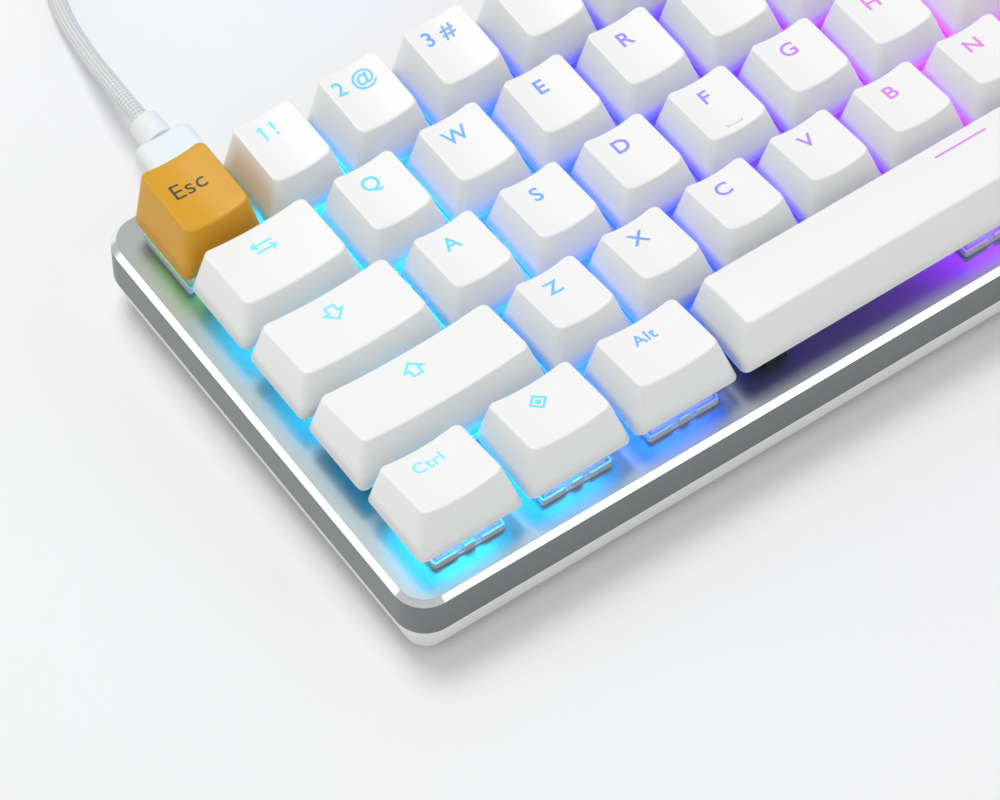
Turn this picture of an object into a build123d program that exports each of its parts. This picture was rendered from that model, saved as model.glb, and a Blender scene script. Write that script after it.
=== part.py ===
"""A compact mechanical keyboard, built as the pieces it comes apart into. Millimetres, +Z up, the table at
z = 0, x = 0 and y = 0 at the middle of the key block, +Y towards the back."""
from build123d import *
import math
import os

os.makedirs("parts", exist_ok=True)

# Key grid
UNIT = 19.05
BLOCK_X = 15 * UNIT
BLOCK_Y = 5 * UNIT

# Case, top plate and their heights above the table
MARGIN = 4.5
CASE_R = 6.5
PLATE_TOP = 19.3
PLATE_T = 1.5
PLATE_CHAMFER = 1.1
SKIRT_H = 9.5
SKIRT_WALL = 2.0
CASE_BOTTOM = 1.5
CASE_WALL = 2.2
CASE_FLOOR = 2.0
CASE_TAPER = 16.0
LIP_H = 2.0
LIP_T = 1.4
PRESS_GAP = 0.15

# Circuit board and the fasteners that hold the stack together
BOARD_DROP = 5.0
BOARD_T = 1.6
BOARD_GAP = 1.8
CHIP_Y = 10.5
SCREW_X = 120.0
SCREW_R = 1.2
SCREW_HEAD_R = 2.2
SCREW_HEAD_T = 2.0
SCREW_SINK = 1.0
SCREW_BITE = 2.4
STANDOFF_R = 2.2
BOSS_R = 3.5
FIT = 0.05

# Switch, heights counted from the plate's top
CUTOUT = 14.0
BODY_GAP = 0.1
BODY = CUTOUT - 2 * BODY_GAP
FLANGE_REST = 0.8
FLANGE = CUTOUT + 2 * FLANGE_REST
FLANGE_T = 1.0
RIM_T = 0.4
RIM_H = 0.6
NOTCH = 5.4
LATCH = 2.2
LATCH_H = 2.0
HOUSING_TOP = 6.6
HOUSING_TAPER = 15.0
HOLLOW = 12.0
WELL_FLOOR = 0.8
POST_R = 2.0
POST_DEPTH = 3.3
TUBE_R = 1.7
TUBE_BORE_R = 1.2
TUBE_TOP = -0.8
PIN_R = 1.1
PIN_BOTTOM = -2.4
STEM_X = 8.6
STEM_Y = 5.6
STEM_BOTTOM = 1.4
STEM_SHELF = 3.4
STEM_SHOULDER = 5.4
WINDOW_X = 7.4
WINDOW_Y = 6.2
CROSS = 4.0
CROSS_T = 1.2
CROSS_TOP = 10.2
SPRING_R = 2.1
SPRING_WIRE_R = 0.15
SPRING_TURNS = 6
SPRING_SIDES = 8
LEG_R = 0.7
LEGS = ((-3.81, 2.54), (2.54, 5.08))
LEAF_Y = (3.25, 5.2)
LED_X = 3.2
LED_Y = 2.4
LED_H = 1.2
LED_SPOT_Y = -4.6
TRAVEL = 4.0

# Key caps, heights counted from the plate's top: front row last
CAP_GAP = 0.95
SKIRT_Z = 6.0
CAP_SKIRT_R = 1.5
TOP_IN_X = 2.75
CAP_TOP_Y = 14.9
ESC_IN_X = 2.15
ESC_TOP_Y = 16.2
ESC_SHIFT = 0.45
CAP_TOP_R = 1.5
CAP_WALL = 1.4
CEILING = 11.5
TUBE_OUT_R = 2.75
TUBE_Z = 6.7
SOCKET_TOP = 10.5
DISH = 1.1
DISH_EDGE = 0.15
BAR_CROWN = 0.7
BAR_CROWN_R = 35.0
ROW_TOP = (18.2, 16.1, 15.4, 15.65, 15.6)
ROW_SHIFT = (0.57, 0.81, 0.84, 1.04, 1.12)
ROW_TILT = (1.1, -2.5, -6.8, -11.5, -10.3)

# Stabilisers, in their own middle's frame, heights from the plate's top
STAB_SPAN = 23.88
BAR_SPAN = 100.0
STAB_X = 8.0
STAB_Y = 8.6
STAB_TOP = 5.6
STAB_BOTTOM = -4.2
STAB_FLOOR = 0.8
STAB_SHAFT = 6.0
INSERT = 5.4
INSERT_BOTTOM = 1.4
INSERT_TOP = 6.3
WIRE_R = 0.75
WIRE_Y = 8.9
WIRE_H = 1.0
WIRE_BEND = 1.6
WIRE_ARM = 8.2
WIRE_GRIP = 7.6
WIRE_SLOT = 2.1
WIRE_SLOT_H = 2.6
CLIP_H = 1.7
CLIP_END = 1.3
TOE = 2.2
TOE_X = 4.6
TOE_H = 3.4
CLIP_X = (1.8, 4.0)

# Feet
PAD_X = 22.0
PAD_Y = 6.0
PAD_H = 2.2
PAD_SPOT = (112.0, 40.0)
FOOT_X = 24.0
FOOT_LONG = 18.0
FOOT_T = 3.0
FOOT_SPOT = (84.0, 40.0)
FOOT_AXIS_Z = 3.6
FOOT_PIN_R = 1.2
FOOT_PIN_OUT = 1.6
FOOT_GAP = 0.4
POCKET_WALL = 2.4
POCKET_ROOF = 1.2

# Socket, plug and cable
PORT_X = -123.3
SHELL_W = 8.25
SHELL_H = 2.4
SOCKET_WALL = 0.3
SOCKET_GAP_X = 0.045
SOCKET_GAP_Z = 0.13
SOCKET_W = SHELL_W + 2 * (SOCKET_WALL + SOCKET_GAP_X)
SOCKET_H = SHELL_H + 2 * (SOCKET_WALL + SOCKET_GAP_Z)
SOCKET_LONG = 7.4
SHELL_LONG = 6.6
PLUG_W = 12.2
PLUG_H = 6.5
PLUG_LONG = 15.4
PLUG_R = 1.8
PLUG_BEVEL = 1.0
COLLAR_R = 3.2
COLLAR_LONG = 5.5
CABLE_R = 1.75
PORT_GAP = 0.4
COIL_X = -42.9
COIL_Y = 104.4
COIL_R = 19.25
COIL_W = 14.0
COIL_H = 10.6
FAR_PLUG_W = 15.0
FAR_PLUG_H = 8.0
FAR_PLUG_LONG = 26.0
FAR_SHELL_W = 12.0
FAR_SHELL_H = 4.5
FAR_SHELL_LONG = 18.5
FAR_RELIEF = 9.0
FAR_START = 14.8
# The cable's route from the plug's collar to the coil, chosen by hand
ROUTE = (
    (PORT_X, 82.5, 11.07), (-120.9, 97.0, 4.6), (-118.5, 111.0, 1.95), (-113.5, 123.5, 1.85),
    (-102.5, 131.5, 1.85), (-88.0, 133.2, 1.85), (-72.0, 131.0, 1.85), (-57.5, 129.2, 1.85),
)

# Every key from the back row to the front, left to right: name and width in units
LAYOUT = (
    (("esc", 1), ("1", 1), ("2", 1), ("3", 1), ("4", 1), ("5", 1), ("6", 1), ("7", 1), ("8", 1), ("9", 1),
     ("0", 1), ("minus", 1), ("equals", 1), ("backspace", 2)),
    (("tab", 1.5), ("q", 1), ("w", 1), ("e", 1), ("r", 1), ("t", 1), ("y", 1), ("u", 1), ("i", 1), ("o", 1),
     ("p", 1), ("left_bracket", 1), ("right_bracket", 1), ("backslash", 1.5)),
    (("caps_lock", 1.75), ("a", 1), ("s", 1), ("d", 1), ("f", 1), ("g", 1), ("h", 1), ("j", 1), ("k", 1),
     ("l", 1), ("semicolon", 1), ("quote", 1), ("enter", 2.25)),
    (("shift_left", 2.25), ("z", 1), ("x", 1), ("c", 1), ("v", 1), ("b", 1), ("n", 1), ("m", 1), ("comma", 1),
     ("period", 1), ("slash", 1), ("shift_right", 2.75)),
    (("ctrl_left", 1.25), ("super_left", 1.25), ("alt_left", 1.25), ("space", 6.25), ("alt_right", 1.25),
     ("super_right", 1.25), ("menu", 1.25), ("ctrl_right", 1.25)),
)
# Runs of keys that share one node: the node's name, and its first and last key
SHARED = (
    ("keys_5_to_equals", "5", "equals"), ("keys_t_to_backslash", "t", "backslash"),
    ("keys_g_to_quote", "g", "quote"), ("keys_n_to_slash", "n", "slash"),
    ("keys_right_modifiers", "alt_right", "ctrl_right"),
)

CASE_X = BLOCK_X + 2 * MARGIN
CASE_Y = BLOCK_Y + 2 * MARGIN
JOIN_Z = PLATE_TOP - SKIRT_H
BOARD_TOP = PLATE_TOP - BOARD_DROP
BOARD_BOTTOM = BOARD_TOP - BOARD_T
INNER_X = CASE_X - 2 * SKIRT_WALL
INNER_Y = CASE_Y - 2 * SKIRT_WALL
INNER_R = CASE_R - SKIRT_WALL
PORT_Z = BOARD_BOTTOM - SOCKET_H / 2
SCREW_SPOTS = [(x, y) for x in (-SCREW_X, 0, SCREW_X) for y in (-1.5 * UNIT, 1.5 * UNIT)]


def above(height):
    """The level plane at a height above the plate's top."""
    return Plane.XY.offset(PLATE_TOP + height)


def key_grid():
    """Every key as (name, width in units, row, x, y), from the back row to the front."""
    keys = []
    for row, names in enumerate(LAYOUT):
        left = -BLOCK_X / 2
        for name, units in names:
            middle = left + units * UNIT / 2
            keys.append((name, units, row, middle, BLOCK_Y / 2 - (row + 0.5) * UNIT))
            left += units * UNIT
    return keys


KEYS = key_grid()
CENTRES = [(x, y) for name, units, row, x, y in KEYS]


def stab_span(units):
    """Distance between a wide key's two stabilisers, or 0 on a key that has none."""
    if units < 2:
        return 0
    return BAR_SPAN if units > 6 else STAB_SPAN


STAB_SPOTS = [
    (x + side * stab_span(units) / 2, y, side)
    for name, units, row, x, y in KEYS if stab_span(units) for side in (-1, 1)
]


def save(name, part):
    """Labels one finished piece and writes it as its node."""
    part.label = name
    export_step(part, f"parts/{name}.step")


def copies(part, spots):
    """Separate copies of one piece, moved to each spot and joined to nothing."""
    return Compound(children=[part.moved(Location((spot[0], spot[1], 0))) for spot in spots])


# Case ------------------------------------------------------------------------------------------------------

def lower_case():
    """The plastic tray: sloping walls, a lip inside the skirt, screw bosses and the pockets for the feet."""
    depth = JOIN_Z - CASE_BOTTOM
    shrink = depth * math.tan(math.radians(CASE_TAPER))
    with BuildPart() as tray:
        with BuildSketch(Plane.XY.offset(JOIN_Z)):
            RectangleRounded(CASE_X, CASE_Y, CASE_R)
        extrude(amount=-depth, taper=CASE_TAPER)
        fillet(tray.faces().sort_by(Axis.Z)[0].edges(), radius=1.2)
        with BuildSketch(Plane.XY.offset(JOIN_Z)):
            RectangleRounded(CASE_X - 2 * CASE_WALL, CASE_Y - 2 * CASE_WALL, CASE_R - CASE_WALL)
        extrude(amount=CASE_FLOOR - depth, taper=CASE_TAPER, mode=Mode.SUBTRACT)
        lip_x, lip_y = INNER_X - 2 * PRESS_GAP, INNER_Y - 2 * PRESS_GAP
        with BuildSketch(Plane.XY.offset(JOIN_Z - 1)):
            RectangleRounded(lip_x, lip_y, INNER_R - PRESS_GAP)
            RectangleRounded(lip_x - 2 * LIP_T, lip_y - 2 * LIP_T, INNER_R - LIP_T, mode=Mode.SUBTRACT)
        extrude(amount=LIP_H + 1)
        with BuildSketch(Plane.XY.offset(CASE_BOTTOM + CASE_FLOOR / 2)):
            with Locations(*SCREW_SPOTS):
                Circle(BOSS_R)
        extrude(amount=BOARD_BOTTOM - CASE_BOTTOM - CASE_FLOOR / 2)
        pocket_y = FOOT_SPOT[1] - FOOT_LONG / 2 + FOOT_T / 4
        pocket_long = FOOT_LONG + 1.5 * FOOT_T
        roof = FOOT_AXIS_Z + FOOT_T / 2 + FOOT_GAP
        with BuildSketch(Plane.XY.offset(CASE_BOTTOM + CASE_FLOOR / 2)):
            with Locations((-FOOT_SPOT[0], pocket_y), (FOOT_SPOT[0], pocket_y)):
                Rectangle(FOOT_X + 2 * (FOOT_GAP + POCKET_WALL), pocket_long + 2 * POCKET_WALL)
        extrude(amount=roof + POCKET_ROOF - CASE_BOTTOM - CASE_FLOOR / 2)
        with BuildSketch(Plane.XY.offset(CASE_BOTTOM)):
            with Locations((-FOOT_SPOT[0], pocket_y), (FOOT_SPOT[0], pocket_y)):
                Rectangle(FOOT_X + 2 * FOOT_GAP, pocket_long)
        extrude(amount=roof - CASE_BOTTOM, mode=Mode.SUBTRACT)
        across = [Location((x, FOOT_SPOT[1], FOOT_AXIS_Z), (0, 90, 0)) for x in (-FOOT_SPOT[0], FOOT_SPOT[0])]
        with Locations(*across):
            Cylinder(FOOT_PIN_R + FIT, FOOT_X + 2 * (FOOT_GAP + FOOT_PIN_OUT), mode=Mode.SUBTRACT)
        with BuildSketch(Plane.XY.offset(CASE_BOTTOM)):
            with Locations(*PAD_SPOTS):
                RectangleRounded(PAD_X, PAD_Y, PAD_Y / 2 - 0.1)
        extrude(amount=PAD_H - CASE_BOTTOM, mode=Mode.SUBTRACT)
        with Locations(*[(x, y, CASE_BOTTOM) for x, y in SCREW_SPOTS]):
            Cylinder(SCREW_HEAD_R + 0.3, SCREW_SINK + SCREW_HEAD_T,
                     align=(Align.CENTER, Align.CENTER, Align.MIN), mode=Mode.SUBTRACT)
            Cylinder(SCREW_R + PRESS_GAP, BOARD_BOTTOM - CASE_BOTTOM,
                     align=(Align.CENTER, Align.CENTER, Align.MIN), mode=Mode.SUBTRACT)
        port_half = SOCKET_H / 2 + PORT_GAP
        with Locations((PORT_X, CASE_Y / 2, PORT_Z + JOIN_Z / 2)):
            Box(SOCKET_W + 2 * PORT_GAP, 6 * CASE_WALL, 2 * port_half + JOIN_Z, mode=Mode.SUBTRACT)
    return tray.part


def top_plate():
    """The metal plate with its skirt: a square cut-out for each switch, keyhole ones for the stabilisers."""
    with BuildPart() as plate:
        with BuildSketch(Plane.XY.offset(JOIN_Z)):
            RectangleRounded(CASE_X, CASE_Y, CASE_R)
        extrude(amount=SKIRT_H)
        chamfer(plate.faces().sort_by(Axis.Z)[-1].edges(), length=PLATE_CHAMFER)
        with BuildSketch(Plane.XY.offset(JOIN_Z)):
            RectangleRounded(INNER_X, INNER_Y, INNER_R)
        extrude(amount=SKIRT_H - PLATE_T, mode=Mode.SUBTRACT)
        with BuildSketch(Plane.XY.offset(BOARD_TOP)):
            with Locations(*SCREW_SPOTS):
                Circle(STANDOFF_R)
                Circle(SCREW_R + FIT, mode=Mode.SUBTRACT)
        extrude(amount=BOARD_DROP - PLATE_T)
        with BuildSketch(above(-PLATE_T)):
            with Locations(*CENTRES):
                Rectangle(CUTOUT, CUTOUT)
            with Locations(*[(x, y) for x, y, side in STAB_SPOTS]):
                Rectangle(STAB_X + 2 * PRESS_GAP - 0.1, STAB_Y + 2 * PRESS_GAP)
            with Locations(*[(x, y + WIRE_Y / 2) for x, y, side in STAB_SPOTS]):
                Rectangle(WIRE_SLOT + 2 * PRESS_GAP, WIRE_Y)
        extrude(amount=PLATE_T, mode=Mode.SUBTRACT)
        with Locations((PORT_X, CASE_Y / 2, JOIN_Z)):
            Box(SOCKET_W + 2 * PORT_GAP, 3 * SKIRT_WALL, 2 * (PORT_Z + SOCKET_H / 2 + PORT_GAP - JOIN_Z),
                mode=Mode.SUBTRACT)
    return plate.part


PAD_SPOTS = [(x, y) for x in (-PAD_SPOT[0], PAD_SPOT[0]) for y in (-PAD_SPOT[1], PAD_SPOT[1])]


def rubber_feet():
    """Four pads set into the underside."""
    with BuildPart() as pads:
        with BuildSketch():
            with Locations(*PAD_SPOTS):
                RectangleRounded(PAD_X - 0.2, PAD_Y - 0.2, PAD_Y / 2 - 0.3)
        extrude(amount=PAD_H)
        chamfer(pads.faces().group_by(Axis.Z)[0].edges(), length=0.4)
    return pads.part


def folding_foot(side):
    """A flip-out foot lying folded in its pocket, with its two trunnions."""
    x = side * FOOT_SPOT[0]
    with BuildPart() as foot:
        with BuildSketch(Plane.YZ.offset(x - FOOT_X / 2)):
            with Locations((FOOT_SPOT[1], FOOT_AXIS_Z)):
                Circle(FOOT_T / 2)
            with Locations((FOOT_SPOT[1] - FOOT_LONG / 2, FOOT_AXIS_Z)):
                Rectangle(FOOT_LONG, FOOT_T)
        extrude(amount=FOOT_X)
        fillet(foot.edges().group_by(Axis.Y)[0].filter_by(Axis.Z), radius=3)
        with BuildSketch(Plane.YZ.offset(x - FOOT_X / 2 - FOOT_GAP - FOOT_PIN_OUT + 0.1)):
            with Locations((FOOT_SPOT[1], FOOT_AXIS_Z)):
                Circle(FOOT_PIN_R)
        extrude(amount=FOOT_X + 2 * (FOOT_GAP + FOOT_PIN_OUT) - 0.2)
    return foot.part


def case_screws():
    """Six flat-headed machine screws that run up through the bosses into the plate's standoffs."""
    seat = CASE_BOTTOM + SCREW_SINK + SCREW_HEAD_T
    with BuildPart() as screw:
        with BuildSketch(Plane.XY.offset(seat - SCREW_HEAD_T)):
            Circle(SCREW_HEAD_R)
        extrude(amount=SCREW_HEAD_T)
        with BuildSketch(Plane.XY.offset(seat)):
            Circle(SCREW_R)
        extrude(amount=BOARD_TOP + SCREW_BITE - seat)
        with BuildSketch(Plane.XY.offset(seat - SCREW_HEAD_T)):
            RegularPolygon(1.0, 6)
        extrude(amount=1.2, mode=Mode.SUBTRACT)
    return copies(screw.part, SCREW_SPOTS)


# Circuit board ---------------------------------------------------------------------------------------------

def circuit_board():
    """The board under the plate, drilled for each switch's post and legs and for the case screws."""
    legs = [(x + leg[0], y + leg[1]) for x, y in CENTRES for leg in LEGS]
    with BuildPart() as board:
        with BuildSketch(Plane.XY.offset(BOARD_BOTTOM)):
            RectangleRounded(INNER_X - 2 * BOARD_GAP, INNER_Y - 2 * BOARD_GAP, INNER_R - BOARD_GAP)
            with Locations(*CENTRES):
                Circle(POST_R + FIT, mode=Mode.SUBTRACT)
            with Locations(*legs):
                Circle(LEG_R + FIT, mode=Mode.SUBTRACT)
            with Locations(*SCREW_SPOTS):
                Circle(SCREW_R + PRESS_GAP, mode=Mode.SUBTRACT)
        extrude(amount=BOARD_T)
    return board.part


def board_chips():
    """The controller, two light drivers, a regulator and a crystal on the board's underside."""
    with BuildPart() as chips:
        for size, height, spot in (
            (7.0, 0.9, (-100.0, CHIP_Y)), (5.0, 0.9, (-40.5, CHIP_Y)), (5.0, 0.9, (50.0, CHIP_Y)),
            (3.0, 1.1, (-108.0, 38.1)), (2.5, 0.8, (-92.5, CHIP_Y)),
        ):
            with BuildSketch(Plane.XY.offset(BOARD_BOTTOM - height)):
                with Locations(spot):
                    Rectangle(size, size)
            extrude(amount=height)
    return chips.part


def usb_socket():
    """The metal shell of the socket under the board's back edge, with its contact tongue."""
    mouth = CASE_Y / 2 - 0.6
    with BuildPart() as socket:
        with BuildSketch(Plane.XZ.offset(-mouth)):
            with Locations((PORT_X, PORT_Z)):
                RectangleRounded(SOCKET_W, SOCKET_H, SOCKET_H / 2 - 0.05)
        extrude(amount=SOCKET_LONG)
        with BuildSketch(Plane.XZ.offset(-mouth)):
            with Locations((PORT_X, PORT_Z)):
                RectangleRounded(SOCKET_W - 2 * SOCKET_WALL, SOCKET_H - 2 * SOCKET_WALL, SOCKET_H / 2 - 0.4)
        extrude(amount=SOCKET_LONG - 0.6, mode=Mode.SUBTRACT)
        with BuildSketch(Plane.XZ.offset(-mouth + 1)):
            with Locations((PORT_X, PORT_Z)):
                Rectangle(6.2, 0.7)
        extrude(amount=SOCKET_LONG - 1.3)
    return socket.part


# Switches --------------------------------------------------------------------------------------------------

def switch_bottom():
    """A switch's lower housing: flange on the plate, well through the cut-out, post and pin guide."""
    with BuildPart() as housing:
        with BuildSketch(above(-BOARD_DROP)):
            Rectangle(BODY, BODY)
        extrude(amount=BOARD_DROP)
        with BuildSketch(above(0)):
            RectangleRounded(FLANGE, FLANGE, 0.6)
        extrude(amount=FLANGE_T)
        with BuildSketch(above(WELL_FLOOR - BOARD_DROP)):
            Rectangle(HOLLOW, HOLLOW)
        extrude(amount=BOARD_DROP + FLANGE_T - WELL_FLOOR, mode=Mode.SUBTRACT)
        with BuildSketch(above(-BOARD_DROP - POST_DEPTH)):
            Circle(POST_R)
        extrude(amount=POST_DEPTH)
        with BuildSketch(above(-BOARD_DROP)):
            Circle(TUBE_R)
        extrude(amount=BOARD_DROP + TUBE_TOP)
        with BuildSketch(above(0.6 - BOARD_DROP - POST_DEPTH)):
            Circle(TUBE_BORE_R)
        extrude(amount=BOARD_DROP + POST_DEPTH, mode=Mode.SUBTRACT)
        with BuildSketch(above(-BOARD_DROP)):
            with Locations(*LEGS):
                Circle(LEG_R + FIT)
            with Locations((0, LED_SPOT_Y)):
                Rectangle(LED_X + 0.4, LED_Y + 0.3)
        extrude(amount=WELL_FLOOR, mode=Mode.SUBTRACT)
        with BuildSketch(above(FLANGE_T)):
            RectangleRounded(FLANGE, FLANGE, 0.6)
            RectangleRounded(FLANGE - 2 * RIM_T, FLANGE - 2 * RIM_T, 0.3, mode=Mode.SUBTRACT)
        extrude(amount=RIM_H)
        with BuildSketch(above(FLANGE_T / 2)):
            with Locations((0, -FLANGE / 2), (0, FLANGE / 2)):
                Rectangle(NOTCH, 2 * RIM_T)
        extrude(amount=FLANGE_T + RIM_H, mode=Mode.SUBTRACT)
        with BuildSketch(above(0)):
            with Locations((0, -FLANGE / 2 + RIM_T / 2), (0, FLANGE / 2 - RIM_T / 2)):
                Rectangle(LATCH, RIM_T)
        extrude(amount=LATCH_H)
    return housing.part


def switch_top():
    """A switch's clear upper housing: sloping walls, open at the top for the stem, with a light slot."""
    height = HOUSING_TOP - FLANGE_T
    with BuildPart() as housing:
        with BuildSketch(above(FLANGE_T)):
            RectangleRounded(FLANGE - 1.0, FLANGE - 1.0, 0.8)
        extrude(amount=height, taper=HOUSING_TAPER)
        with BuildSketch(above(FLANGE_T)):
            Rectangle(HOLLOW - 1.4, HOLLOW - 1.4)
        extrude(amount=height - 1.0, mode=Mode.SUBTRACT)
        with BuildSketch(above(FLANGE_T)):
            Rectangle(WINDOW_X, WINDOW_Y)
            with Locations((0, LED_SPOT_Y - 0.1)):
                Rectangle(LED_X + 2.2, 1.2)
        extrude(amount=height, mode=Mode.SUBTRACT)
    return housing.part


def switch_spring():
    """The coil spring under a stem, round the pin guide, as short straight runs of hexagonal wire."""
    low = WELL_FLOOR - BOARD_DROP + SPRING_WIRE_R + 0.08
    high = STEM_SHELF - SPRING_WIRE_R - 0.08
    steps = SPRING_TURNS * SPRING_SIDES
    points = []
    for step in range(steps + 1):
        angle = math.tau * step / SPRING_SIDES
        height = PLATE_TOP + low + (high - low) * step / steps
        points.append((SPRING_R * math.cos(angle), SPRING_R * math.sin(angle), height))
    with BuildPart() as spring:
        with BuildLine() as coil:
            Polyline(*points)
        with BuildSketch(Plane(origin=coil.line @ 0, z_dir=coil.line % 0)):
            RegularPolygon(SPRING_WIRE_R, 6)
        sweep(transition=Transition.RIGHT)
    return spring.part


def switch_contact():
    """A switch's two metal contacts: a leg through the board and a leaf in the well."""
    low = WELL_FLOOR - BOARD_DROP
    with BuildPart() as contact:
        with BuildSketch(above(-BOARD_DROP - POST_DEPTH)):
            with Locations(*LEGS):
                Circle(LEG_R)
        extrude(amount=POST_DEPTH + WELL_FLOOR + 0.3)
        with BuildSketch(above(low + 0.02)):
            for leg, leaf_y in zip(LEGS, LEAF_Y):
                with Locations((leg[0], leaf_y)):
                    Rectangle(3.0, 0.3)
        extrude(amount=FLANGE_T - low - 0.4)
    return contact.part


def backlight_led():
    """A light on the board under the front of a switch."""
    with BuildPart() as led:
        with BuildSketch(above(-BOARD_DROP)):
            with Locations((0, LED_SPOT_Y)):
                Rectangle(LED_X, LED_Y)
        extrude(amount=LED_H)
        with BuildSketch(above(-BOARD_DROP + LED_H)):
            with Locations((0, LED_SPOT_Y)):
                Circle(LED_Y / 2 - 0.2)
        extrude(amount=-0.3, mode=Mode.SUBTRACT)
    return led.part


# Stabilisers -----------------------------------------------------------------------------------------------

def stabiliser(side):
    """One stabiliser housing: a square shaft for the insert, a slot for the wire's arm and a clip."""
    with BuildPart() as housing:
        with BuildSketch(above(STAB_BOTTOM)):
            RectangleRounded(STAB_X - 0.1, STAB_Y, 0.4)
        extrude(amount=STAB_TOP - STAB_BOTTOM)
        with BuildSketch(above(STAB_BOTTOM + STAB_FLOOR)):
            Rectangle(STAB_SHAFT, STAB_SHAFT)
        extrude(amount=STAB_TOP - STAB_BOTTOM, mode=Mode.SUBTRACT)
        clip_mid = -side * (CLIP_X[0] + CLIP_X[1]) / 2
        with BuildSketch(above(0.02)):
            with Locations((clip_mid, (WIRE_Y + CLIP_END) / 2)):
                Rectangle(CLIP_X[1] - CLIP_X[0], WIRE_Y)
        extrude(amount=CLIP_H)
        with BuildSketch(above(0.02)):
            with Locations((0, -(STAB_Y + TOE) / 2)):
                Rectangle(TOE_X, TOE)
        extrude(amount=TOE_H)
        with BuildSketch(above(STAB_BOTTOM + STAB_FLOOR)):
            Rectangle(STAB_SHAFT, STAB_SHAFT)
        extrude(amount=STAB_TOP - STAB_BOTTOM, mode=Mode.SUBTRACT)
        with BuildSketch(Plane.YZ.offset(clip_mid - CLIP_X[1] / 2)):
            with Locations((WIRE_Y, PLATE_TOP + WIRE_H)):
                Circle(WIRE_R + FIT)
            with Locations((WIRE_Y, PLATE_TOP + WIRE_H + CLIP_H / 2)):
                Rectangle(2 * (WIRE_R + FIT), CLIP_H)
        extrude(amount=CLIP_X[1], mode=Mode.SUBTRACT)
        with BuildSketch(above(-2.2)):
            with Locations((0, STAB_Y / 2)):
                Rectangle(WIRE_SLOT, STAB_Y / 2)
        extrude(amount=6.2, mode=Mode.SUBTRACT)
    return housing.part


def stabiliser_housings():
    """All ten housings, the left ones with their clips to the right and the right ones the other way."""
    left, right = stabiliser(-1), stabiliser(1)
    return Compound(children=[
        (left if side < 0 else right).moved(Location((x, y, 0))) for x, y, side in STAB_SPOTS
    ])


def stabiliser_wire(span, x, y):
    """The bent wire that ties a wide key's two ends together: a bar in the clips and an arm at each end."""
    rise = math.asin(TRAVEL / 2 / WIRE_GRIP)
    tip_y = y + WIRE_Y - WIRE_ARM * math.cos(rise)
    tip_z = PLATE_TOP + WIRE_H + WIRE_ARM * math.sin(rise)
    bar_y, bar_z = y + WIRE_Y, PLATE_TOP + WIRE_H
    left, right = x - span / 2, x + span / 2
    with BuildPart() as wire:
        with BuildLine() as path:
            FilletPolyline((left, tip_y, tip_z), (left, bar_y, bar_z), (right, bar_y, bar_z),
                           (right, tip_y, tip_z), radius=WIRE_BEND)
        with BuildSketch(Plane(origin=path.line @ 0, z_dir=path.line % 0)):
            Circle(WIRE_R)
        sweep()
    return wire.part


def stabiliser_insert():
    """The slider in a stabiliser: a block with a slot for the wire's arm, and a cross for the cap."""
    rise = math.asin(TRAVEL / 2 / WIRE_GRIP)
    slot_h = WIRE_H + WIRE_GRIP * math.sin(rise)
    with BuildPart() as insert:
        with BuildSketch(above(INSERT_BOTTOM)):
            Rectangle(INSERT, INSERT)
        extrude(amount=INSERT_TOP - INSERT_BOTTOM)
        with BuildSketch(above(INSERT_TOP)):
            Rectangle(CROSS, CROSS_T)
            Rectangle(CROSS_T, CROSS)
        extrude(amount=CROSS_TOP - INSERT_TOP)
        with BuildSketch(above(slot_h - WIRE_SLOT_H / 2)):
            with Locations((0, INSERT / 2)):
                Rectangle(WIRE_SLOT, INSERT - 0.4)
        extrude(amount=WIRE_SLOT_H, mode=Mode.SUBTRACT)
    return insert.part


# Keys ------------------------------------------------------------------------------------------------------

def switch_stem():
    """A switch's stem: slider with a pocket for the spring, guide pin below and cross above."""
    with BuildPart() as stem:
        with BuildSketch(above(STEM_BOTTOM)):
            Rectangle(STEM_X, STEM_Y)
        extrude(amount=STEM_SHOULDER - STEM_BOTTOM)
        with BuildSketch(above(STEM_BOTTOM)):
            Circle(SPRING_R + 0.3)
        extrude(amount=STEM_SHELF - STEM_BOTTOM, mode=Mode.SUBTRACT)
        with BuildSketch(above(PIN_BOTTOM)):
            Circle(PIN_R)
        extrude(amount=STEM_SHELF + 0.5 - PIN_BOTTOM)
        with BuildSketch(above(STEM_SHOULDER)):
            Rectangle(CROSS, CROSS_T)
            Rectangle(CROSS_T, CROSS)
        extrude(amount=CROSS_TOP - STEM_SHOULDER)
        chamfer(stem.edges().group_by(Axis.Z)[-1].filter_by(Axis.X), length=0.2)
    return stem.part


def top_size(esc):
    """How far a cap's top sits in from its sides, its depth, and its extra shift to the back."""
    return (ESC_IN_X, ESC_TOP_Y, ESC_SHIFT) if esc else (TOP_IN_X, CAP_TOP_Y, 0)


def top_face(row, lift=0.0, shift=0.0):
    """The tilted plane of a cap's top, raised by lift along its normal."""
    tilt = math.radians(ROW_TILT[row])
    normal = (0, -math.sin(tilt), math.cos(tilt))
    origin = (0, ROW_SHIFT[row] + shift, PLATE_TOP + ROW_TOP[row])
    return Plane(origin=origin, x_dir=(1, 0, 0), z_dir=normal).offset(lift)


def cap_block(units, row, esc):
    """A cap's outer block, from its skirt to just above its tilted top."""
    skirt_x = units * UNIT - CAP_GAP
    top_in, top_y, shift = top_size(esc)
    with BuildPart() as block:
        with BuildSketch(above(SKIRT_Z)):
            RectangleRounded(skirt_x, UNIT - CAP_GAP, CAP_SKIRT_R)
        with BuildSketch(top_face(row, BAR_CROWN if units > 6 else DISH_EDGE, shift)):
            RectangleRounded(skirt_x - 2 * top_in, top_y, CAP_TOP_R)
        loft()
    return block.part


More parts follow.
